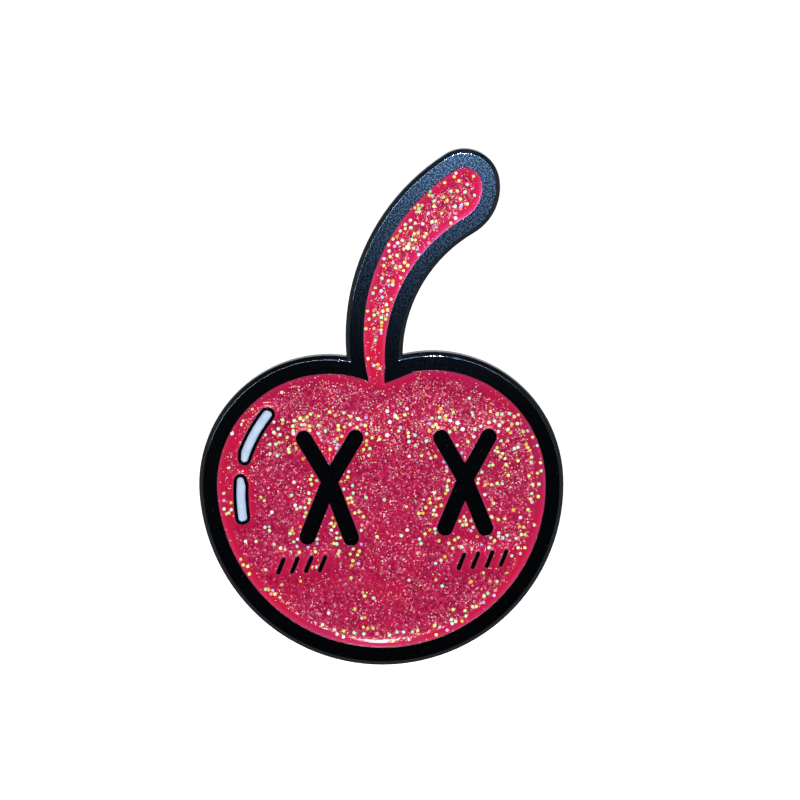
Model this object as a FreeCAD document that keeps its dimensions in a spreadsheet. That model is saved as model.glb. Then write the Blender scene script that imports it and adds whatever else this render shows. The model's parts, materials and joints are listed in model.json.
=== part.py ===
"""Soft-enamel pin: a die-struck cherry on a stem, two nail posts and two butterfly clutches.

Millimetres. The pin stands upright: X to the right seen from the front, Z up, and the front
faces -Y. Y = 0 is the flat back, and X = Z = 0 is midway between the two posts.
"""
import math
import os

import FreeCAD
import Part

V = FreeCAD.Vector
os.makedirs("parts", exist_ok=True)
doc = FreeCAD.newDocument("enamel_pin")

# ---------------------------------------------------------------- sizes
SIZES = {
    "plate_thickness": 1.8,   # whole die-struck body, back to the top of the raised lines
    "recess_depth": 0.6,      # how far the enamel floor lies under the raised lines
    "enamel_depth": 0.4,      # soft enamel stops short of the lines
    "border_width": 1.32,     # raised outline, from the edge to the enamel
    "edge_bevel": 0.3,
    "eye_stroke": 1.17,
    "dash_stroke": 0.3,
    "wall_width": 0.24,       # thin metal wall round each white highlight
    "seat_radius": 2.0,       # shallow struck seat for a post's head
    "seat_depth": 0.1,
    "post_offset": 7.0,       # each post from the centre line
    "head_radius": 1.6,
    "head_height": 0.4,
    "shank_radius": 0.55,
    "post_height": 8.4,       # from the seat to the point
    "cloth_gap": 2.2,         # pin's back to the clutch, when it is pushed on
    "clutch_radius": 5.75,
    "cap_thickness": 0.4,
    "strip_thickness": 0.3,   # spring strip of the clutch
    "clutch_hole": 0.75,
    "jaw_radius": 0.57,       # closed jaws, a hair over the shank
    "wing_width": 6.4,
}
sheet = doc.addObject("Spreadsheet::Sheet", "sizes")
for row, (alias, value) in enumerate(SIZES.items(), start=1):
    sheet.set(f"A{row}", alias)
    sheet.set(f"B{row}", str(value))
    sheet.setAlias(f"B{row}", alias)
doc.recompute()


# ---------------------------------------------------------------- flat shapes
def path(start, heading, steps, left=0.0):
    """A smooth run of lines and arcs, moved sideways by `left`.

    Each step is (length,) or (radius, sweep in degrees); a positive sweep turns left.
    """
    angle = math.radians(heading)
    x = start[0] - left * math.sin(angle)
    y = start[1] + left * math.cos(angle)
    run = []
    for step in steps:
        if len(step) == 1:
            end = (x + step[0] * math.cos(angle), y + step[0] * math.sin(angle))
            run.append(Part.makeLine(V(x, y), V(*end)))
            x, y = end
            continue
        radius, sweep = step[0], math.radians(step[1])
        side = math.copysign(1.0, sweep)
        r = radius - side * left
        cx, cy = x - side * r * math.sin(angle), y + side * r * math.cos(angle)

        def at(turn):
            a = angle + turn - side * math.pi / 2
            return V(cx + r * math.cos(a), cy + r * math.sin(a))

        end = at(sweep)
        run.append(Part.Arc(at(0.0), at(sweep / 2), end).toShape())
        angle += sweep
        x, y = end.x, end.y
    return run, (x, y), math.degrees(angle)


def closing_arc(point, heading, target):
    """(radius, sweep) of the arc that leaves `point` along `heading` and ends at `target`."""
    a = math.radians(heading)
    dx, dy = target[0] - point[0], target[1] - point[1]
    along = dx * math.cos(a) + dy * math.sin(a)
    across = dy * math.cos(a) - dx * math.sin(a)
    return (dx * dx + dy * dy) / (2 * across), 2 * math.degrees(math.atan2(across, along))


def closed(edges):
    """The face inside a run of edges, its two ends joined by a line where they are apart."""
    first, last = edges[0].valueAt(edges[0].FirstParameter), edges[-1].valueAt(edges[-1].LastParameter)
    if first.distanceToPoint(last) > 1e-6:
        edges = edges + [Part.makeLine(last, first)]
    return Part.Face(Part.Wire(Part.__sortEdges__(edges)))


def joined(faces):
    """One outline from overlapping faces."""
    one = faces[0].multiFuse(faces[1:]) if len(faces) > 1 else faces[0]
    return one.removeSplitter()


def stroke(a, b, width):
    """A straight pen stroke with round ends."""
    a, b, r = V(*a), V(*b), width / 2
    along = (b - a).normalize() * r
    side = V(-along.y, along.x)
    return closed([
        Part.makeLine(a + side, b + side),
        Part.Arc(b + side, b + along, b - side).toShape(),
        Part.makeLine(b - side, a - side),
        Part.Arc(a - side, a - along, a + side).toShape(),
    ])


DIP = (-0.41, 8.47)            # where the cherry's two lobes meet, under the stem
LOBES = [(9.5, 116.0), (13.9, 36.3), (13.3, 142.5)]
_, end, heading = path(DIP, 158.5, LOBES)
LOBES.append(closing_arc(end, heading, DIP))
STEM = [(10.5, -75.4), (3.9, 67.5), (2.6, 114.7), (15.8, 72.8)]


def outline(inset):
    """Cherry and stem as one face, drawn in by `inset`."""
    cherry = closed(path(DIP, 158.5, LOBES, inset)[0])
    stem = closed(path((1.94, 6.18), 105.8, STEM, inset)[0])
    return joined([cherry, stem])


def recess():
    """The enamel's outline; the border is a little thicker where the right lobe meets the stem."""
    web = Part.Face(Part.makePolygon([V(0.2, 7.1), V(2.3, 7.93), V(0.2, 8.2), V(0.2, 7.1)]))
    return outline(SIZES["border_width"]).cut(web)


def eye(top_left, top_right, middle, low_left, low_right):
    ends = (top_left, top_right, low_left, low_right)
    return joined([stroke(middle, e, SIZES["eye_stroke"]) for e in ends])


def dashes(x, y, step, rise, count):
    """A row of short slanted strokes, the blush under an eye."""
    dx, dy = 0.2, 0.5
    return [
        stroke((x + i * step - dx, y + i * rise - dy), (x + i * step + dx, y + i * rise + dy),
               SIZES["dash_stroke"])
        for i in range(count)
    ]


def glint(centre, radius, half, outer_span, inner_span):
    """The core of a curved brush stroke between two arcs about one centre; spans in degrees."""
    def run(r, a0, a1):
        a = [math.radians(v) for v in (a0, (a0 + a1) / 2, a1)]
        return [V(centre[0] + r * math.cos(v), centre[1] + r * math.sin(v)) for v in a]

    far, near = run(radius + half, *outer_span), run(radius - half, *reversed(inner_span))
    return closed([
        Part.Arc(*far).toShape(), Part.makeLine(far[2], near[0]),
        Part.Arc(*near).toShape(), Part.makeLine(near[2], far[0]),
    ])


EYES = [
    eye((-5.70, 3.04), (-1.92, 3.11), (-3.82, -0.09), (-5.44, -4.20), (-2.23, -4.28)),
    eye((4.36, 3.11), (7.84, 3.19), (6.12, 0.03), (4.65, -3.52), (7.60, -3.54)),
]
BLUSH = dashes(-7.40, -6.34, 1.02, 0.055, 4) + dashes(5.85, -6.00, 1.03, 0.08, 4)
GLINTS = {
    "upper": glint((0.08, -1.81), 10.75, 0.07, (142.0, 159.1), (141.6, 161.6)),
    "lower": glint((1.70, -1.00), 12.02, 0.07, (175.5, 188.6), (177.3, 188.5)),
}
CORNER = 0.25                  # round corners of the white strokes
WHITES = {name: core.makeOffset2D(CORNER) for name, core in GLINTS.items()}
WALLS = [core.makeOffset2D(CORNER + SIZES["wall_width"]) for core in GLINTS.values()]


# ---------------------------------------------------------------- feature helpers
def new_body(label, at=(0, 0, 0), turn=0.0):
    body = doc.addObject("PartDesign::Body", label)
    body.Label = label
    body.Placement = FreeCAD.Placement(V(*at), FreeCAD.Rotation(V(0, 1, 0), turn))
    return body


def draw(body, name, shapes, plane="XZ_Plane", lift=0.0):
    """A sketch of the given faces' edges; `lift` moves it along the plane's normal."""
    sk = body.newObject("Sketcher::SketchObject", name)
    origin = [f for f in body.Origin.OriginFeatures if f.Role == plane][0]
    sk.AttachmentSupport = (origin, "")
    sk.MapMode = "FlatFace"
    sk.AttachmentOffset = FreeCAD.Placement(V(0, 0, lift), FreeCAD.Rotation())
    for shape in shapes:
        for e in shape.Edges:
            a, b = e.valueAt(e.FirstParameter), e.valueAt(e.LastParameter)
            if e.Curve.TypeId == "Part::GeomLine":
                sk.addGeometry(Part.LineSegment(a, b))
            elif a.distanceToPoint(b) < 1e-9:
                sk.addGeometry(Part.Circle(e.Curve.Center, V(0, 0, 1), e.Curve.Radius))
            else:
                mid = e.valueAt((e.FirstParameter + e.LastParameter) / 2)
                sk.addGeometry(Part.Arc(a, mid, b))
    return sk


def feature(body, kind, name, sketch, length=None, alias=None, **props):
    f = body.newObject(f"PartDesign::{kind}", name)
    f.Profile = sketch
    for key, value in props.items():
        setattr(f, key, value)
    if length is not None:
        f.Length = length
    if alias:
        f.setExpression("Length", f"<<sizes>>.{alias}")
    sketch.Visibility = False
    return f


def turned(body, name, profile):
    """Revolve a closed profile, drawn as (radius, Y), about the body's own Y axis."""
    sk = draw(body, name + "_profile", [profile], "XY_Plane")
    return feature(body, "Revolution", name, sk, ReferenceAxis=(sk, ["V_Axis"]), Angle=360.0)


def disc(radius, x=0.0, y=0.0):
    return Part.Face(Part.Wire(Part.makeCircle(radius, V(x, y, 0))))


# ---------------------------------------------------------------- the struck body and its enamel
S = SIZES
FLOOR = S["plate_thickness"] - S["recess_depth"]
POSTS = {"left": -S["post_offset"], "right": S["post_offset"]}

body = new_body("pin_body")
feature(body, "Pad", "plate", draw(body, "plate_outline", [outline(0.0)]),
        S["plate_thickness"] - S["edge_bevel"])
bevel = body.newObject("PartDesign::AdditiveLoft", "edge_bevel")
bevel.Profile = draw(body, "bevel_foot", [outline(0.0)], lift=S["plate_thickness"] - S["edge_bevel"])
bevel.Sections = [draw(body, "bevel_top", [outline(S["edge_bevel"])], lift=S["plate_thickness"])]
bevel.Ruled = True
feature(body, "Pocket", "enamel_recess",
        draw(body, "recess_outline", [recess()], lift=S["plate_thickness"]),
        alias="recess_depth")
rings = [wall.cut(white) for wall, white in zip(WALLS, WHITES.values())]
feature(body, "Pad", "raised_lines",
        draw(body, "line_outlines", EYES + BLUSH + rings, lift=FLOOR), alias="recess_depth")
feature(body, "Pocket", "post_seats",
        draw(body, "seat_circles", [disc(S["seat_radius"], x) for x in POSTS.values()]),
        alias="seat_depth", Reversed=True)

pool = new_body("glitter_enamel")
feature(pool, "Pad", "pool", draw(pool, "pool_outline", [recess()], lift=FLOOR),
        alias="enamel_depth")
feature(pool, "Pocket", "round_the_lines",
        draw(pool, "island_outlines", EYES + BLUSH + WALLS, lift=S["plate_thickness"]),
        Type="ThroughAll")

for name, shape in WHITES.items():
    white = new_body(f"white_enamel_{name}")
    feature(white, "Pad", f"fill_{name}", draw(white, f"fill_outline_{name}", [shape], lift=FLOOR),
            alias="enamel_depth")


# ---------------------------------------------------------------- posts, solder and clutches
def nail_post(label, x):
    """Flat head, shank, a rounded grip groove near the end and a point, along +Y."""
    r, top = S["shank_radius"], S["post_height"]
    groove, point = 6.0, top - 1.0
    edges = [
        Part.makeLine(V(0, 0), V(S["head_radius"], 0)),
        Part.makeLine(V(S["head_radius"], 0), V(S["head_radius"], S["head_height"])),
        Part.makeLine(V(S["head_radius"], S["head_height"]), V(r, S["head_height"])),
        Part.makeLine(V(r, S["head_height"]), V(r, groove)),
        Part.Arc(V(r, groove), V(r - 0.1, groove + 0.3), V(r, groove + 0.6)).toShape(),
        Part.makeLine(V(r, groove + 0.6), V(r, point)),
        Part.makeLine(V(r, point), V(0.12, top - 0.05)),
        Part.makeLine(V(0.12, top - 0.05), V(0, top)),
        Part.makeLine(V(0, top), V(0, 0)),
    ]
    turned(new_body(label, (x, -S["seat_depth"], 0)), label + "_turned", closed(edges))


def solder_ring(label, x):
    """The fillet of solder between a post's head and the rim of its seat."""
    r0, r1 = S["head_radius"], S["seat_radius"] - 0.05
    edges = [
        Part.makeLine(V(r0, 0), V(r1, 0)),
        Part.Arc(V(r1, 0), V(r0 + 0.1, 0.09), V(r0, 0.28)).toShape(),
        Part.makeLine(V(r0, 0.28), V(r0, 0)),
    ]
    turned(new_body(label, (x, -S["seat_depth"], 0)), label + "_turned", closed(edges))


def clutch_cap(label, at):
    """A round cap whose rim is rolled over the spring's floor."""
    outer, hole, plate = S["clutch_radius"], S["clutch_hole"], S["cap_thickness"]
    cavity = S["strip_thickness"]
    mid = plate + cavity / 2            # height of the roll's centre
    cx = outer - mid                    # its radius from the axis
    lip = cx - 0.75
    edges = [
        Part.makeLine(V(hole, plate), V(hole, 0.15)),
        Part.makeLine(V(hole, 0.15), V(hole + 0.3, 0)),
        Part.makeLine(V(hole + 0.3, 0), V(cx, 0)),
        Part.Arc(V(cx, 0), V(outer, mid), V(cx, 2 * mid)).toShape(),
        Part.makeLine(V(cx, 2 * mid), V(lip, 2 * mid)),
        Part.Arc(V(lip, 2 * mid), V(lip - plate / 2, 2 * mid - plate / 2),
                 V(lip, 2 * mid - plate)).toShape(),
        Part.makeLine(V(lip, 2 * mid - plate), V(cx, 2 * mid - plate)),
        Part.Arc(V(cx, 2 * mid - plate), V(cx + cavity / 2, mid), V(cx, plate)).toShape(),
        Part.makeLine(V(cx, plate), V(hole, plate)),
    ]
    turned(new_body(label, at), label + "_spun", closed(edges))


def clutch_floor(label, at):
    """The spring's round floor, held under the rolled rim, with a pressed ring for stiffness."""
    body = new_body(label, at)
    low, high = S["cap_thickness"], S["cap_thickness"] + S["strip_thickness"]
    edge = S["clutch_radius"] - low - S["strip_thickness"] / 2
    edges = [
        Part.makeLine(V(S["clutch_hole"], low), V(edge, low)),
        Part.makeLine(V(edge, low), V(edge, high)),
        Part.makeLine(V(edge, high), V(4.1, high)),
        Part.Arc(V(4.1, high), V(3.8, high + 0.14), V(3.5, high)).toShape(),
        Part.makeLine(V(3.5, high), V(S["clutch_hole"], high)),
        Part.makeLine(V(S["clutch_hole"], high), V(S["clutch_hole"], low)),
    ]
    turned(body, label + "_spun", closed(edges))


def clutch_wing(label, at, turn):
    """One bent arm of the spring: a notched jaw at the shank, a neck and a finger tab."""
    body = new_body(label, at, turn)
    half = S["strip_thickness"] / 2
    jaw = (0.05, S["cap_thickness"] + S["strip_thickness"] + 0.1 + half)
    steps = [(2.0,), (0.5, 158.0), (1.95,), (0.4, -130.0), (3.9,), (1.4, -38.0), (0.25,)]
    right, left = path(jaw, 0.0, steps, -half)[0], path(jaw, 0.0, steps, half)[0]
    ends = [run[i].valueAt(p) for run in (right, left)
            for i, p in ((0, run[0].FirstParameter), (-1, run[-1].LastParameter))]
    strip = closed(right + left + [Part.makeLine(ends[0], ends[2]), Part.makeLine(ends[1], ends[3])])
    feature(body, "Pad", label + "_strip", draw(body, label + "_bend", [strip], "XY_Plane"),
            alias="wing_width", Midplane=True)
    tab, neck, reach, bulge = S["wing_width"] / 2, 1.6, 5.2, 1.4
    shoulder, finger = 0.7, 1.2
    crown = (bulge ** 2 + tab ** 2) / (2 * bulge)
    slant = math.atan2(tab - neck, 2.0)
    turn_x = 2.9 + shoulder * math.tan(slant / 2)
    end_x = reach - crown + math.sqrt((crown - finger) ** 2 - (tab - finger) ** 2)
    round_off = math.atan2(tab - finger, end_x - reach + crown)

    def rim(way):
        """One side of the plan, from the jaw to the crown of the tab."""
        def at_angle(x, radius, angle):
            return V(x + radius * math.sin(angle), way * (tab - radius + radius * math.cos(angle)))
        foot = at_angle(turn_x, shoulder, -slant)
        tip = at_angle(end_x, finger, math.pi / 2 - round_off)
        return [
            Part.makeLine(V(-0.5, way * neck), V(0.9, way * neck)),
            Part.makeLine(V(0.9, way * neck), foot),
            Part.Arc(foot, at_angle(turn_x, shoulder, -slant / 2), V(turn_x, way * tab)).toShape(),
            Part.makeLine(V(turn_x, way * tab), V(end_x, way * tab)),
            Part.Arc(V(end_x, way * tab), at_angle(end_x, finger, math.pi / 4 - round_off / 2), tip).toShape(),
        ], tip

    (lower, low_tip), (upper, high_tip) = rim(-1), rim(1)
    shape = closed(lower + upper + [
        Part.Arc(low_tip, V(reach, 0), high_tip).toShape(),
        Part.makeLine(V(-0.5, neck), V(-0.5, -neck)),
    ])
    blank = Part.Face(Part.makePolygon([V(-1, -5), V(8, -5), V(8, 5), V(-1, 5), V(-1, -5)]))
    feature(body, "Pocket", label + "_sides", draw(body, label + "_plan", [blank.cut(shape)]),
            Type="ThroughAll", Midplane=True)
    for part, radius, low in (("jaw", S["jaw_radius"], 0.5), ("throat", 0.85, 1.35)):
        feature(body, "Pocket", f"{label}_{part}",
                draw(body, f"{label}_{part}_circle", [disc(radius)], lift=-low),
                0.85 if part == "jaw" else 8.0)


for side, x in POSTS.items():
    at = (x, S["cloth_gap"], 0)
    nail_post(f"post_{side}", x)
    solder_ring(f"solder_{side}", x)
    clutch_cap(f"clutch_{side}_cap", at)
    clutch_floor(f"clutch_{side}_floor", at)
    clutch_wing(f"clutch_{side}_wing_outer", at, 0.0 if x > 0 else 180.0)
    clutch_wing(f"clutch_{side}_wing_inner", at, 180.0 if x > 0 else 0.0)

# ---------------------------------------------------------------- check and write
doc.recompute()
for obj in doc.Objects:
    if "Invalid" in obj.State or "Error" in obj.State:
        raise RuntimeError(f"{obj.Name}: {obj.State}")
for obj in doc.Objects:
    if obj.TypeId == "PartDesign::Body":
        if obj.Shape.isNull() or not obj.Shape.isValid() or len(obj.Shape.Solids) != 1:
            raise RuntimeError(f"{obj.Label}: {len(obj.Shape.Solids)} solids")
        obj.Shape.exportStep(f"parts/{obj.Label}.step")
        box = obj.Shape.BoundBox
        print(f"{obj.Label:28s} {obj.Shape.Volume:9.3f} mm3  "
              f"X {box.XMin:7.2f} {box.XMax:7.2f}  Y {box.YMin:6.2f} {box.YMax:6.2f}  "
              f"Z {box.ZMin:7.2f} {box.ZMax:7.2f}")
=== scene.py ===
"""The enamel pin's visual model, built around its CAD frame.

Lengths are in metres, and a number times MM is a length given in millimetres. X runs along the
pin's width and Z up its height. Its front faces -Y.
"""
import json
import math
import random

import bmesh
import bpy
from mathutils import Matrix, Vector, geometry, kdtree, noise

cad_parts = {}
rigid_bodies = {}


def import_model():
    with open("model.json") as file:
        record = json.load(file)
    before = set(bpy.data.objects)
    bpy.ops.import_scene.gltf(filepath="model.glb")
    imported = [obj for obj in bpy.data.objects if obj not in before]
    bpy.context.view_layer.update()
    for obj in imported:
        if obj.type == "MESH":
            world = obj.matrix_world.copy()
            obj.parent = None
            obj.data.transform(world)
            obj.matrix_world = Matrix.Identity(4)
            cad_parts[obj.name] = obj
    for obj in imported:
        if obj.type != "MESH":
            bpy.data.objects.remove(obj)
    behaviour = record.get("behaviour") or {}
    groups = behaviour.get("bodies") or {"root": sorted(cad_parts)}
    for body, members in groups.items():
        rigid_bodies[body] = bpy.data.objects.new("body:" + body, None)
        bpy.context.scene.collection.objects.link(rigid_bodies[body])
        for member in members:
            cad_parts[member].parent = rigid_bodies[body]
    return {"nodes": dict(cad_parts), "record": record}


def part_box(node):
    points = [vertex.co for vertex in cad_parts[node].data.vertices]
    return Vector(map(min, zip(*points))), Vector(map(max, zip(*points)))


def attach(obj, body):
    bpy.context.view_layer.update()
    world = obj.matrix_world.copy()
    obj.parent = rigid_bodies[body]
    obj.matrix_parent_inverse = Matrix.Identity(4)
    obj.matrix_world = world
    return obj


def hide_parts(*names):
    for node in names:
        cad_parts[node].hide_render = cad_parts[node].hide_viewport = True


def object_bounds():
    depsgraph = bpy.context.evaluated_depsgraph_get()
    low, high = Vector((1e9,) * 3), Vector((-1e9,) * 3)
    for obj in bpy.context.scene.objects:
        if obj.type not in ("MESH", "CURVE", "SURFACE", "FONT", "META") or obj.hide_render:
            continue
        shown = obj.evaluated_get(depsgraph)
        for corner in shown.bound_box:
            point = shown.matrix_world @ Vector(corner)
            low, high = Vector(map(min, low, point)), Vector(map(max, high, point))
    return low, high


for stray in list(bpy.data.objects):
    bpy.data.objects.remove(stray)
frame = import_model()
cad_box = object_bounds()
nodes = frame["nodes"]
scene = bpy.context.scene
scene.view_settings.view_transform = "Standard"
scene.view_settings.look = "None"
scene.cycles.sample_clamp_indirect = 4.0

MM = 0.001
WELD = 1e-7  # a CAD mesh's vertices are one where they are closer than this
low, high = cad_box
centre = (low + high) / 2
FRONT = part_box("pin_body")[0].y

# ------------------------------------------------------------------ camera
LENS, SENSOR, CLIP_START = 250.0, 36.0, 0.005
CAMERA_TILT, CAMERA_REACH = math.radians(5.3), 0.4066
AIM_ACROSS, AIM_UP = 0.00137, 0.00062  # from the middle of the pin


def look_at(obj, target):
    obj.rotation_euler = (Vector(target) - obj.location).to_track_quat("-Z", "Y").to_euler()


cam = bpy.data.cameras.new("camera")
cam.sensor_width = SENSOR
cam.lens = LENS
cam.clip_start = CLIP_START
cam_obj = bpy.data.objects.new("camera", cam)
scene.collection.objects.link(cam_obj)
scene.camera = cam_obj
aim = Vector((centre.x + AIM_ACROSS, FRONT, centre.z + AIM_UP))
cam_obj.location = aim + Vector((0, -math.cos(CAMERA_TILT), math.sin(CAMERA_TILT))) * CAMERA_REACH
look_at(cam_obj, aim)

# ------------------------------------------------------------------ lights
COOL, PLAIN, WHITE = (0.96, 0.98, 1.0), (0.98, 0.99, 1.0), (1.0, 1.0, 1.0)
STRIP_TURNS = (-66, -33, 0, 33)  # degrees round the pin, from straight above it
STRIP_OFF_AXIS, STRIP_REACH = math.radians(35), 0.19
STRIP_SIZE, STRIP_POWER, STRIP_COLOUR = (0.066, 0.036), 0.80, (0.74, 0.86, 1.0)
GLANCE_PLACE, GLANCE_TARGET = (0.004, -0.042, 0.044), (0.005, FRONT, 0.025)
GLANCE_POWER, GLANCE_COLOUR = 34.0, (0.36, 0.60, 1.0)
GLANCE_CONE, GLANCE_RADIUS = math.radians(36), 0.004

metal_only = bpy.data.collections.new("metal_only")
not_metal = bpy.data.collections.new("not_metal")


def lamp(kind, name, place, target, power, colour, receivers=None):
    """A light aimed at a point. With receivers, it lights only what that collection says."""
    light = bpy.data.lights.new(name, kind)
    light.energy = power
    light.color = colour
    obj = bpy.data.objects.new(name, light)
    obj.location = place
    obj.visible_camera = False
    look_at(obj, target)
    scene.collection.objects.link(obj)
    if receivers is not None:
        obj.light_linking.receiver_collection = receivers
    return obj


def area(name, place, size, power, colour, receivers=None):
    """A rectangular light aimed at the middle of the pin."""
    obj = lamp("AREA", name, place, centre, power, colour, receivers)
    obj.data.shape = "RECTANGLE"
    obj.data.size, obj.data.size_y = size
    return obj


area("key", (-0.004, -0.17, 0.19), (0.055, 0.07), 0.30, COOL)
area("fill_left", (-0.25, -0.20, 0.13), (0.20, 0.20), 0.45, COOL)
area("fill_right", (0.25, -0.20, 0.11), (0.20, 0.20), 0.40, COOL)
area("back", (0.10, 0.25, 0.20), (0.20, 0.20), 0.6, WHITE)
area("front", (0.0, -0.28, 0.17), (0.16, 0.06), 0.30, PLAIN, not_metal)
area("flash", (0.002, -0.30, 0.050), (0.010, 0.060), 0.19, WHITE, not_metal)

# an arc of strips, which draws a fine line along the body's upper front edges
for turn in STRIP_TURNS:
    a, off = math.radians(turn), STRIP_OFF_AXIS
    away = Vector((math.sin(a) * math.sin(off), -math.cos(off), math.cos(a) * math.sin(off)))
    along = Vector((math.cos(a), 0, -math.sin(a)))
    strip = area(f"strip_{turn}", centre + away * STRIP_REACH, STRIP_SIZE, STRIP_POWER,
                 STRIP_COLOUR, metal_only)
    strip.rotation_euler = Matrix((along, away.cross(along), away)).transposed().to_euler()
    strip.visible_diffuse = False

# a small blue lamp close above the stem, seen only as the sheen on its metal
glance = lamp("SPOT", "glance", GLANCE_PLACE, GLANCE_TARGET, GLANCE_POWER, GLANCE_COLOUR,
              metal_only)
glance.data.spot_size = GLANCE_CONE
glance.data.spot_blend = 1.0
glance.data.shadow_soft_size = GLANCE_RADIUS
glance.visible_diffuse = False


# ------------------------------------------------------------------ node helpers
class Nodes:
    """One node tree, built with short calls."""

    MIX_FACTOR, MIX_A, MIX_B, MIX_RESULT = 0, 6, 7, 2  # a Mix node's colour sockets

    def __init__(self, tree):
        self.tree = tree

    def node(self, kind, inputs=(), **props):
        """A shader node whose inputs are linked from sockets or set to plain values."""
        made = self.tree.nodes.new("ShaderNode" + kind)
        for key, value in props.items():
            setattr(made, key, value)
        for key, value in dict(inputs).items():
            if isinstance(value, bpy.types.NodeSocket):
                self.tree.links.new(value, made.inputs[key])
            else:
                made.inputs[key].default_value = value
        return made

    def ramp(self, fac, *stops):
        """A colour that follows a factor through stops of a position and a colour."""
        made = self.node("ValToRGB", {"Fac": fac})
        elements = made.color_ramp.elements
        while len(elements) < len(stops):
            elements.new(0.5)
        for element, (at, colour) in zip(elements, stops):
            element.position = at
            element.color = (*colour, 1.0)
        return made.outputs["Color"]

    def grey(self, fac, *stops):
        return self.ramp(fac, *[(at, (v, v, v)) for at, v in stops])

    def mix(self, fac, a, b, blend="MIX"):
        a, b = [(*v, 1.0) if isinstance(v, tuple) else v for v in (a, b)]
        made = self.node("Mix", {self.MIX_FACTOR: fac, self.MIX_A: a, self.MIX_B: b},
                         data_type="RGBA", blend_type=blend)
        return made.outputs[self.MIX_RESULT]


class Mat(Nodes):
    """A material and its Principled shader. A linked input keeps its plain value underneath."""

    def __init__(self, name, colour, roughness, metallic=0.0, **more):
        self.m = bpy.data.materials.new(name)
        self.m.use_nodes = True
        super().__init__(self.m.node_tree)
        self.bsdf = self.tree.nodes["Principled BSDF"]
        plain = {"Base Color": (*colour, 1.0), "Roughness": roughness, "Metallic": metallic}
        plain.update((key.replace("_", " "), value) for key, value in more.items())
        for key, value in plain.items():
            self.bsdf.inputs[key].default_value = value

    def to(self, name, socket):
        self.tree.links.new(socket, self.bsdf.inputs[name])

    def place(self):
        return self.node("TexCoord").outputs["Object"]

    def mark(self, name, output="Fac"):
        """A mesh attribute."""
        return self.node("Attribute", attribute_name=name).outputs[output]

    def noise(self, size_mm, detail=2.0, where=None, rough=0.5):
        return self.node("TexNoise", {"Vector": where or self.place(), "Scale": 1000.0 / size_mm,
                                      "Detail": detail, "Roughness": rough}).outputs["Fac"]

    def cells(self, size_mm, where, randomness=1.0):
        return self.node("TexVoronoi", {"Vector": where, "Scale": 1000.0 / size_mm,
                                        "Randomness": randomness}, feature="F1")

    def bump(self, height, strength, distance_mm, before=None):
        inputs = {"Height": height, "Strength": strength, "Distance": distance_mm * MM}
        if before:
            inputs["Normal"] = before
        return self.node("Bump", inputs).outputs["Normal"]


# ------------------------------------------------------------------ world
LIT_STRENGTH, SEEN_STRENGTH = 0.8, 1.05
AHEAD = (  # what the pin's front reflects, from below it to above it
    (0.00, (0.002, 0.002, 0.003)),
    (0.50, (0.004, 0.005, 0.007)),
    (0.62, (0.04, 0.05, 0.07)),
    (0.80, (0.20, 0.22, 0.25)),
)
BEHIND = (  # what its back and sides reflect
    (0.00, (0.45, 0.45, 0.46)),
    (0.50, (0.60, 0.61, 0.63)),
    (0.75, (0.40, 0.42, 0.44)),
    (0.93, (0.06, 0.065, 0.08)),
)

world = bpy.data.worlds.new("studio")
scene.world = world
world.use_nodes = True
world.node_tree.nodes.clear()
sky = Nodes(world.node_tree)
way = sky.node("SeparateXYZ", {0: sky.node("TexCoord").outputs["Generated"]}).outputs
up = sky.node("MapRange", {"Value": way["Z"], "From Min": -1.0, "From Max": 1.0}).outputs[0]
rear = sky.node("MapRange", {"Value": way["Y"], "From Min": -0.60, "From Max": -0.10}).outputs[0]
room = sky.mix(rear, sky.ramp(up, *AHEAD), sky.ramp(up, *BEHIND))
lit = sky.node("Background", {"Color": room, "Strength": LIT_STRENGTH}).outputs[0]
seen = sky.node("Background", {"Color": (1, 1, 1, 1), "Strength": SEEN_STRENGTH}).outputs[0]
direct = sky.node("LightPath").outputs["Is Camera Ray"]
sky.node("OutputWorld",
         {"Surface": sky.node("MixShader", {0: direct, 1: lit, 2: seen}).outputs[0]})

# ------------------------------------------------------------------ materials
BLACK = (0.0, 0.0, 0.0)
CAST_GRAIN_MM, SPECK_MM = 0.12, 0.8  # of the black metal
CELL_MM, MICA_MM, MICA_TILT = 0.19, 0.13, 0.42  # of the glitter in the pink enamel
RISE_FROM, RISE_TO = 0.006, 0.013  # heights between which the pink enamel is painted brighter, a painted light up the stem
STEM_PAINTED_LIGHT = (1.22, 1.35, 1.22)


def black_metal():
    """Black-dyed plating: satin, with a fine cast grain, pin-prick specks and rubbed edges."""
    k = Mat("black_metal", (0.0015, 0.0018, 0.0025), 0.2, Specular_Tint=(0.75, 0.88, 1.0, 1.0))
    where = k.place()
    grain = k.noise(CAST_GRAIN_MM, 2.0, where, 0.6)
    cloud = k.grey(k.noise(2.5, 2.0, where), (0.35, 0.0), (0.7, 1.0))
    speck = k.grey(k.cells(SPECK_MM, where).outputs["Distance"], (0.04, 0.6), (0.07, 0.0))
    patches = k.grey(k.noise(0.7, 3.0, where), (0.55, 0.0), (0.72, 0.6))
    rub = k.mix(k.mark("worn"), BLACK, patches)
    base = k.mix(cloud, (0.0003, 0.0004, 0.0006), (0.0008, 0.0009, 0.0013))
    base = k.mix(speck, base, (0.05, 0.055, 0.06))
    k.to("Base Color", k.mix(rub, base, (0.030, 0.033, 0.037)))
    # the upright walls have an even gloss, and the faces one that follows the grain
    facing = k.node("SeparateXYZ", {0: k.node("TexCoord").outputs["Normal"]}).outputs["Y"]
    facing = k.node("Math", {0: facing}, operation="ABSOLUTE").outputs[0]
    gloss = k.grey(grain, (0.41, 0.09), (0.61, 0.163))
    k.to("Roughness", k.mix(k.grey(facing, (0.15, 1.0), (0.45, 0.0)), gloss, (0.12, 0.12, 0.12)))
    k.to("Normal", k.bump(grain, 0.5, 0.008, k.bump(k.noise(0.6, 2.0, where), 0.2, 0.01)))
    return k.m


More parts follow.
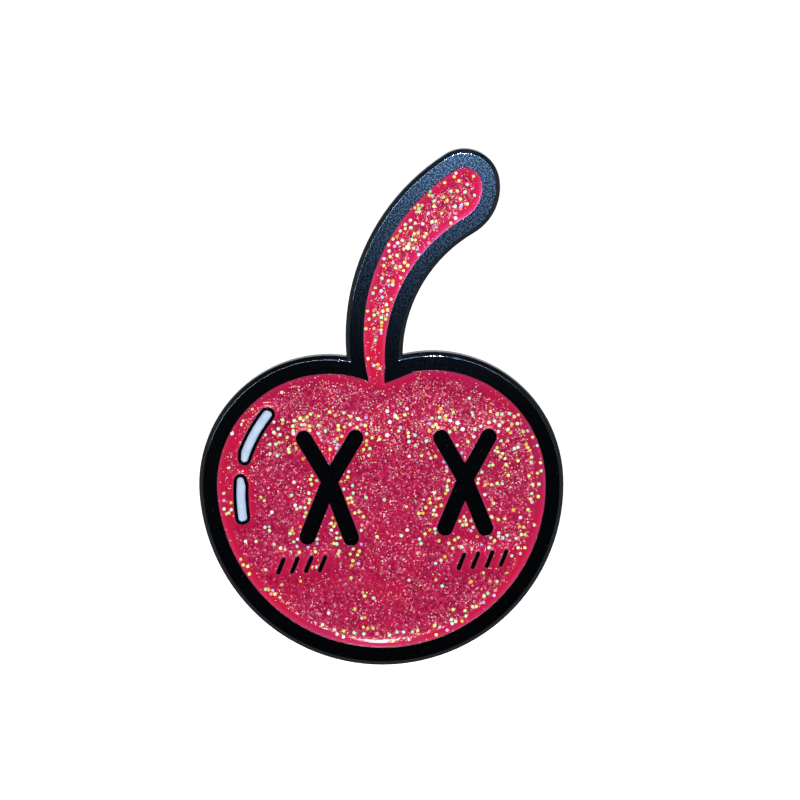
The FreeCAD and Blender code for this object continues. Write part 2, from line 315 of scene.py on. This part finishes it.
def enamel():
    """Tinted enamel packed with fine flakes: dark cells with pale broken rings round them, the
    rings a painted highlight on the flakes' rims.

    The flakes thin out by the walls, where the enamel is smooth, and it is painted a little paler
    there: a painted sheen where its surface curves up the walls.
    """
    k = Mat("glitter_enamel", (0.48, 0.025, 0.09), 0.16, Specular_IOR_Level=0.36,
            Specular_Tint=(1.0, 0.80, 0.80, 1.0))
    where = k.place()
    flake = k.cells(CELL_MM, where, 0.9).outputs
    tone = k.node("SeparateXYZ", {0: flake["Color"]}).outputs
    shore = k.mark("shore")
    patch = k.grey(k.noise(3.2, 2.0, where), (0.36, 0.55), (0.52, 1.0))
    packed = k.mix(k.grey(shore, (0.045, 0.0), (0.20, 1.0)), patch, BLACK)

    base = k.ramp(k.noise(7.0, 2.0, where), (0.30, (0.54, 0.008, 0.040)),
                  (0.52, (0.46, 0.009, 0.058)), (0.75, (0.39, 0.012, 0.078)))
    cell = k.ramp(tone["X"], (0.0, (0.24, 0.003, 0.034)), (0.35, (0.33, 0.005, 0.048)),
                  (0.7, (0.42, 0.007, 0.060)), (1.0, (0.49, 0.011, 0.076)))
    tints = k.ramp(tone["Y"], (0.0, (0.74, 0.06, 0.17)), (0.6, (0.82, 0.16, 0.33)),
                   (0.85, (0.80, 0.34, 0.58)), (1.0, (0.88, 0.58, 0.46)))
    # painted highlight: pale broken rings round the flake cells stand in for light glinting off
    # their rims
    ring = k.grey(flake["Distance"], (0.24, 0.0), (0.34, 1.0), (0.44, 0.0))
    broken = k.grey(k.noise(0.14, 1.0, where), (0.50, 0.0), (0.62, 1.0))
    body = k.mix(packed, base, k.mix(k.mix(ring, BLACK, broken), cell, tints))
    # painted sheen: the enamel is painted paler close to the walls, where its curving surface
    # would catch the light
    body = k.mix(k.grey(shore, (0.30, 0.0), (0.95, 0.45)), body, (0.60, 0.070, 0.20))
    # painted light: the enamel's colour is painted brighter up the stem, as if lit from above
    painted_light_rise = k.node("MapRange", {"Value": k.node("SeparateXYZ", {0: where}).outputs["Z"],
                               "From Min": RISE_FROM, "From Max": RISE_TO}).outputs[0]
    k.to("Base Color", k.mix(painted_light_rise, body, k.mix(1.0, body, STEM_PAINTED_LIGHT, "MULTIPLY")))

    # each mica grain leans its own way
    lean = k.node("VectorMath", {0: k.cells(MICA_MM, where).outputs["Color"], 1: (0.5, 0.5, 0.5)},
                  operation="SUBTRACT").outputs[0]
    lean = k.node("VectorMath", {0: lean, "Scale": MICA_TILT}, operation="SCALE").outputs[0]
    lean = k.node("VectorMath", {0: k.mix(packed, BLACK, lean),
                                 1: k.node("NewGeometry").outputs["Normal"]},
                  operation="ADD").outputs[0]
    k.to("Normal", k.node("VectorMath", {0: lean}, operation="NORMALIZE").outputs[0])
    rough = k.grey(tone["Z"], (0.0, 0.16), (1.0, 0.30))
    k.to("Roughness", k.mix(packed, (0.09, 0.09, 0.09), rough))
    return k.m


def white_enamel():
    """Pale blue-white, faintly clouded, and painted darker and bluer by the walls as a painted
    shade.
    """
    k = Mat("white_enamel", (0.62, 0.72, 0.85), 0.12)
    cloud = k.grey(k.noise(0.9), (0.35, 0.0), (0.65, 1.0))
    base = k.mix(cloud, (0.52, 0.61, 0.77), (0.65, 0.73, 0.84))
    # painted shade: the white is painted darker and bluer where its surface curves down to the
    # walls
    edge = k.grey(k.mark("shore"), (0.2, 0.0), (1.0, 0.8))
    k.to("Base Color", k.mix(edge, base, (0.30, 0.40, 0.62)))
    return k.m


def flakes():
    """Loose hexagonal flakes: each has its own tint, faintly mottled."""
    k = Mat("glitter_flakes", (0.8, 0.8, 0.5), 0.3)
    mottle = k.grey(k.noise(0.12, 1.0), (0.3, 0.85), (0.7, 1.0))
    k.to("Base Color", k.mix(1.0, k.mark("tint", "Color"), mottle, "MULTIPLY"))
    return k.m


def nickel(name, colour, roughness):
    """Bare metal with fine scratches."""
    k = Mat(name, colour, roughness, 1.0)
    scratch = k.noise(0.35, 4.0)
    k.to("Roughness", k.grey(scratch, (0.3, roughness), (0.8, roughness + 0.18)))
    k.to("Normal", k.bump(scratch, 0.2, 0.01))
    return k.m


# ------------------------------------------------------------------ shape helpers
def finished(name, bm):
    """A new object in the scene with this bmesh's shape. The bmesh is freed."""
    mesh = bpy.data.meshes.new(name)
    bm.to_mesh(mesh)
    bm.free()
    obj = bpy.data.objects.new(name, mesh)
    scene.collection.objects.link(obj)
    return obj


def front_loops(node, y):
    """The outlines, in X and Z, of a CAD node's flat face at that depth."""
    bm = bmesh.new()
    bm.from_mesh(nodes[node].data)
    bmesh.ops.remove_doubles(bm, verts=bm.verts, dist=WELD)
    flat = {f for f in bm.faces
            if f.normal.y < -0.99 and abs(f.calc_center_median().y - y) < MM / 1000}
    after = {}
    for f in flat:
        for loop in f.loops:
            if all(g not in flat for g in loop.edge.link_faces if g is not f):
                after[loop.vert.index] = loop.link_loop_next.vert.index
    bm.verts.ensure_lookup_table()
    loops = []
    while after:
        start, v = next(iter(after.items()))
        run = [start]
        del after[start]
        while v != start:
            run.append(v)
            v = after.pop(v)
        loops.append([Vector((bm.verts[i].co.x, bm.verts[i].co.z)) for i in run])
    bm.free()
    return loops


def extent(loop, axis):
    """How far an outline reaches along its first or second axis."""
    values = [p[axis] for p in loop]
    return max(values) - min(values)


def dense(loop, step):
    """Points along a closed outline no further apart than step, with the way inward at each."""
    out = []
    for a, b in zip(loop, loop[1:] + loop[:1]):
        side = b - a
        n = max(1, math.ceil(side.length / step))
        inward = Vector((-side.y, side.x)).normalized()
        out += [(a.lerp(b, i / n), inward) for i in range(n)]
    return out


def nearest(loops, step):
    """A function that gives the distance from a point to the nearest of these outlines."""
    points = [p for loop in loops for p, _ in dense(loop, step)]
    tree = kdtree.KDTree(len(points))
    for i, p in enumerate(points):
        tree.insert((p.x, p.y, 0), i)
    tree.balance()
    return lambda x, z: tree.find((x, z, 0))[2]


class Pool:
    """Poured enamel: its outlines, and a surface that climbs the walls and sags between them.

    At a wall the surface stands `climb` below the body's face, and far from it `sink` lower still.
    """

    RIPPLE, RIPPLE_RATE = 0.02 * MM, 900  # a slow unevenness, and how fast it changes
    SAG = 0.55 * MM  # how far from a wall most of the sag is reached
    WALL_RINGS = (0.08 * MM, 0.20 * MM)  # rows of points that follow the walls
    WALL_CLEAR = 0.30 * MM  # the even grid of points keeps this far off the walls
    SHORE, OUTER_SHORE = 0.16 * MM, 0.29 * MM  # widths of the smooth enamel by the walls, where the pink is also painted paler as a painted sheen and the white painted darker as a painted shade

    def __init__(self, node, body_top, sink, climb):
        self.top, self.sink, self.climb = body_top, sink, climb
        self.low, self.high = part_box(node)
        self.floor = self.high.y
        self.loops = front_loops(node, self.low.y)
        self.outer = max(self.loops, key=lambda loop: extent(loop, 0))
        self.gap = nearest(self.loops, 0.1 * MM)
        self.reach = nearest([self.outer], 0.1 * MM)

    def height(self, x, z):
        """The surface's Y."""
        d = self.gap(x, z)
        wave = self.RIPPLE * noise.noise(Vector((x, z, 3.1)) * self.RIPPLE_RATE)
        return (self.top + self.climb + self.sink * (1 - math.exp(-d / self.SAG))
                + wave * min(1, d / MM))

    def holds(self, p):
        """Is a point inside the pool? Outline crossings of a ray along +X are counted."""
        inside = False
        for loop in self.loops:
            for a, b in zip(loop, loop[1:] + loop[:1]):
                if (a.y > p.y) != (b.y > p.y):
                    if p.x < a.x + (p.y - a.y) * (b.x - a.x) / (b.y - a.y):
                        inside = not inside
        return inside

    def plan(self, grid):
        """The surface's points in X and Z, and the edges of its outlines."""
        points, edges = [], []
        for loop in self.loops:
            run = [p for p, _ in dense(loop, grid * 0.7)]
            first = len(points)
            points += run
            edges += [(first + i, first + (i + 1) % len(run)) for i in range(len(run))]
        for depth in self.WALL_RINGS:
            for loop in self.loops:
                for p, inward in dense(loop, grid * 0.7):
                    q = p + inward * depth
                    if self.gap(q.x, q.y) > depth * 0.93:
                        points.append(q)
        row, z = 0, self.low.z
        while z < self.high.z:
            x = self.low.x + (row % 2) * grid / 2
            while x < self.high.x:
                if self.gap(x, z) > self.WALL_CLEAR:
                    points.append(Vector((x, z)))
                x += grid
            z += grid * 0.866
            row += 1
        return points, edges

    def mesh(self, name, grid):
        """The pool as an object: its surface, and a skirt down to the recess's floor."""
        verts, _, faces, _, _, _ = geometry.delaunay_2d_cdt(*self.plan(grid), [], 1, 1e-8)
        bm = bmesh.new()
        top = [bm.verts.new((v.x, self.height(v.x, v.y), v.y)) for v in verts]
        for f in faces:
            if self.holds(sum((verts[i] for i in f), Vector((0, 0))) / len(f)):
                bm.faces.new([top[i] for i in f])
        bmesh.ops.recalc_face_normals(bm, faces=bm.faces)
        rim = [e for e in bm.edges if len(e.link_faces) == 1]
        for v in bmesh.ops.extrude_edge_only(bm, edges=rim)["geom"]:
            if isinstance(v, bmesh.types.BMVert):
                v.co.y = self.floor
        loose = [v for v in bm.verts if not v.link_faces]
        bmesh.ops.delete(bm, geom=loose, context="VERTS")
        bmesh.ops.recalc_face_normals(bm, faces=bm.faces)
        if sum(f.normal.y * f.calc_area() for f in bm.faces) > 0:
            bmesh.ops.reverse_faces(bm, faces=bm.faces)
        for f in bm.faces:
            f.smooth = abs(f.normal.y) > 0.3
        obj = finished(name, bm)
        # shore: nearness to a wall, which thins the flakes and sets the painted sheen and painted
        # shade by the walls
        shore = obj.data.attributes.new("shore", "FLOAT", "POINT")
        for v, mark in zip(obj.data.vertices, shore.data):
            mark.value = max(math.exp(-self.gap(v.co.x, v.co.z) / self.SHORE),
                             math.exp(-self.reach(v.co.x, v.co.z) / self.OUTER_SHORE))
        return obj


# ------------------------------------------------------------------ struck body
EDGE_RADIUS, SHARP_EDGE = 0.08 * MM, math.radians(24)


def rounded(node, name):
    """A copy of a CAD node with its sharp edges softened, as striking and tumbling leave them."""
    bm = bmesh.new()
    bm.from_mesh(nodes[node].data)
    worn = bm.faces.layers.float.new("worn")
    bmesh.ops.remove_doubles(bm, verts=bm.verts, dist=WELD)
    bmesh.ops.dissolve_limit(bm, angle_limit=math.radians(0.4), verts=bm.verts, edges=bm.edges)
    sharp = [e for e in bm.edges if len(e.link_faces) == 2 and e.calc_face_angle() > SHARP_EDGE]
    made = bmesh.ops.bevel(bm, geom=sharp, offset=EDGE_RADIUS, offset_type="OFFSET", segments=3,
                           profile=0.5, affect="EDGES", clamp_overlap=True, miter_outer="SHARP")
    for f in made["faces"]:
        f[worn] = 1.0
    for f in bm.faces:
        f.smooth = True
    obj = finished(name, bm)
    weigh = obj.modifiers.new("weigh", "WEIGHTED_NORMAL")
    weigh.weight = 100
    weigh.keep_sharp = True
    return obj


body = rounded("pin_body", "body")
body.data.materials.append(black_metal())
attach(body, "pin")
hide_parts("pin_body")
metal_only.objects.link(body)
not_metal.objects.link(body)
not_metal.collection_objects[0].light_linking.link_state = "EXCLUDE"

# ------------------------------------------------------------------ enamel
pool = Pool("glitter_enamel", FRONT, 0.23 * MM, 0.07 * MM)
pink = pool.mesh("enamel_pink", 0.25 * MM)
pink.data.materials.append(enamel())
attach(pink, "pin")
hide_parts("glitter_enamel")

white = white_enamel()
for which in ("upper", "lower"):
    node = f"white_enamel_{which}"
    patch = Pool(node, FRONT, 0.12 * MM, 0.04 * MM).mesh(f"enamel_white_{which}", 0.12 * MM)
    patch.data.materials.append(white)
    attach(patch, "pin")
    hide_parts(node)


# ------------------------------------------------------------------ glitter
class Glitter:
    """Flat six-sided flakes laid in the pink enamel's surface, each with its own tint."""

    SLOPE_STEP = 0.05 * MM  # over which the surface's slope is taken
    SKIRT, SKIRT_DROP, SKIRT_SHADE = 1.14, 0.02 * MM, 0.25  # of a flake's sloping side, painted dark as a painted shadow round the flake
    TRIES = 400  # for each flake wanted

    def __init__(self, seed):
        self.rng = random.Random(seed)
        self.bm = bmesh.new()
        self.tint = self.bm.verts.layers.float_color.new("tint")
        self.laid = []

    def ring(self, middle, a, b, turn, radius, colour):
        """Six vertices round a middle, in the plane of a and b."""
        made = []
        for i in range(6):
            t = turn + i * math.tau / 6
            v = self.bm.verts.new(middle + (a * math.cos(t) + b * math.sin(t)) * radius)
            v[self.tint] = (*colour, 1.0)
            made.append(v)
        return made

    def lay(self, x, z, radius, colour, tilt, lift):
        """One flake: a bright face with narrow sloping sides painted dark as a painted shadow,
        following the surface.
        """
        e, rng = self.SLOPE_STEP, self.rng
        here = pool.height(x, z)
        slope = Vector(((pool.height(x + e, z) - here) / e, -1.0,
                        (pool.height(x, z + e) - here) / e))
        lean = Vector((rng.gauss(0, tilt), 0, rng.gauss(0, tilt)))
        up = (slope.normalized() + lean).normalized()
        a = up.orthogonal().normalized()
        b = up.cross(a)
        turn = rng.uniform(0, math.tau)
        middle = Vector((x, here, z)) + up * lift
        # painted shadow: the flake's sides take a darkened copy of its tint
        dark = [c * self.SKIRT_SHADE for c in colour]
        face = self.ring(middle, a, b, turn, radius, colour)
        inner = self.ring(middle, a, b, turn, radius, dark)
        outer = self.ring(middle - up * self.SKIRT_DROP, a, b, turn, radius * self.SKIRT, dark)
        self.bm.faces.new(face)
        for i in range(6):
            j = (i + 1) % 6
            self.bm.faces.new((inner[i], outer[i], outer[j], inner[j]))

    def scatter(self, count, density, radius, tints, spacing, tilt, lift):
        """Lays flakes where a density allows. Radii and spacing are in millimetres.

        Tints are pairs of a weight and a colour.
        """
        rng = self.rng
        total = sum(w for w, _ in tints)
        placed, tries = 0, 0
        while placed < count and tries < count * self.TRIES:
            tries += 1
            x = rng.uniform(pool.low.x, pool.high.x)
            z = rng.uniform(pool.low.z, pool.high.z)
            size = rng.uniform(*radius) * MM
            if rng.random() > density(x, z) or pool.gap(x, z) < size * 1.1:
                continue
            if not pool.holds(Vector((x, z))):
                continue
            if any(abs(x - p) < spacing * MM and abs(z - q) < spacing * MM
                   for p, q in self.laid):
                continue
            pick = rng.uniform(0, total)
            for w, colour in tints:
                pick -= w
                if pick <= 0:
                    break
            glow = rng.uniform(0.85, 1.2)
            self.lay(x, z, size, [min(1.0, c * glow) for c in colour], tilt, lift)
            if spacing:
                self.laid.append((x, z))
            placed += 1

    def done(self, name, body, material):
        obj = finished(name, self.bm)
        obj.data.materials.append(material)
        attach(obj, body)


# The rules below work in millimetres, and their heights start at the frame's origin.
STEM_FROM, STEM_GLINT_FROM, CROWN_FROM = 8.3, 9.5, 5.2
RIM_GLITTER_BELOW, EYE_MIDDLE = 4.8, 0.3
EYE_OUTLINE = 6.0  # an eye's outline is taller than this, and every other hole's is not

from_eyes = nearest([loop for loop in pool.loops
                     if loop is not pool.outer and extent(loop, 1) > EYE_OUTLINE * MM], 0.2 * MM)


def hump(value, middle, width):
    """1 at the middle, falling away smoothly on both sides."""
    return math.exp(-((value - middle) / width) ** 2)


def clump(x, z, size, layer):
    """Drifts of more and less glitter, of about this size in millimetres."""
    n = noise.noise(Vector((x / MM / size, z / MM / size, layer)))
    return min(1.0, max(0.0, 0.5 + 1.6 * n))


def bright(x, z):
    """Where the big pale flakes gather: by the eyes, down the stem, round the lower rim."""
    h, w = z / MM, abs(x / MM)
    if h > STEM_FROM:
        return 0.40 + 0.42 * clump(x, z, 1.3, 4.0)
    eye, rim = from_eyes(x, z) / MM, pool.reach(x, z) / MM
    near_eye = hump(eye, 0.2, 0.3) + 0.40 * hump(eye, 0.0, 1.3)
    near_eye *= 1.5 if h < EYE_MIDDLE else 0.75
    near_rim = hump(rim, 0.8, 0.5) if h < RIM_GLITTER_BELOW else 0.0
    brow = hump(h, 3.6, 1.6) * (w > 1.0)
    d = 0.06 + 1.0 * near_eye + 0.48 * near_rim + 0.30 * brow
    d *= 0.35 + 0.9 * clump(x, z, 1.6, 9.0)
    return d * 0.25 if h > CROWN_FROM else d


def fine(x, z):
    """Where the small specks show: most in the upper half and down the stem."""
    top = 1 / (1 + math.exp(-(z / MM - 1.0) / 1.5))
    d = (0.2 + 0.8 * top) * (0.25 + 0.75 * clump(x, z, 1.1, 2.0))
    return d * (0.3 if pool.reach(x, z) < 0.5 * MM else 1.0)


def painted_glints(x, z):
    """Where a few flakes are painted white as painted glints: above the eyes and down the stem."""
    h = z / MM
    return 0.25 if h > STEM_GLINT_FROM else hump(h, 3.9, 0.9)


LIME, MINT, GOLD = (0.80, 0.88, 0.20), (0.52, 0.96, 0.56), (0.98, 0.52, 0.06)
SNOW, LILAC, CORAL = (0.98, 0.97, 0.92), (0.62, 0.42, 0.80), (0.90, 0.25, 0.22)
ICE, CREAM, PAINTED_GLINT = (0.55, 0.78, 0.90), (0.93, 0.80, 0.42), (1.0, 0.99, 0.95)
ROSE, RUBY = (0.90, 0.42, 0.48), (0.75, 0.16, 0.30)
LARGE_TINTS = ((34, LIME), (20, MINT), (10, GOLD), (7, SNOW), (5, LILAC), (3, CORAL), (6, ICE),
               (12, CREAM))
DUST_TINTS = ((30, ROSE), (14, SNOW), (18, CREAM), (12, GOLD), (10, LILAC), (20, RUBY), (6, MINT))

foil = flakes()
large = Glitter(11)
large.scatter(500, bright, (0.118, 0.140), LARGE_TINTS, spacing=0.20, tilt=0.06, lift=0.012 * MM)
large.done("glitter_large", "pin", foil)
dust = Glitter(23)
# painted glints: a few larger flakes painted white, standing in for flakes flashing in the light
dust.scatter(15, painted_glints, (0.12, 0.18), ((1, PAINTED_GLINT),), spacing=0.4, tilt=0.05, lift=0.016 * MM)
dust.scatter(3200, fine, (0.024, 0.052), DUST_TINTS, spacing=0, tilt=0.25, lift=0.012 * MM)
dust.done("glitter_fine", "pin", foil)

# ------------------------------------------------------------------ posts, solder and clutches
finishes = {
    "post_metal": nickel("post_metal", (0.62, 0.60, 0.55), 0.18),
    "solder": nickel("solder", (0.45, 0.45, 0.44), 0.42),
    "clutch_cap_metal": nickel("clutch_cap_metal", (0.66, 0.63, 0.57), 0.16),
    "clutch_spring_metal": nickel("clutch_spring_metal", (0.60, 0.57, 0.51), 0.24),
}
slots = {s["node"]: s["material_slot"] for s in frame["record"]["subparts"]}
for name, obj in nodes.items():
    if slots[name] in finishes:
        obj.data.materials.clear()
        obj.data.materials.append(finishes[slots[name]])

# ------------------------------------------------------------------ floor
FLOOR_RADIUS, FLOOR_DROP = 1.2, 0.04

bm = bmesh.new()
bmesh.ops.create_circle(bm, cap_ends=True, segments=96, radius=FLOOR_RADIUS)
floor = finished("floor", bm)
floor.location = (0, 0, low.z - FLOOR_DROP)
floor.visible_glossy = False
floor.visible_diffuse = False
floor.data.materials.append(Mat("floor", (0.95, 0.95, 0.95), 0.9, Emission_Color=(1, 1, 1, 1),
                                Emission_Strength=1.0).m)
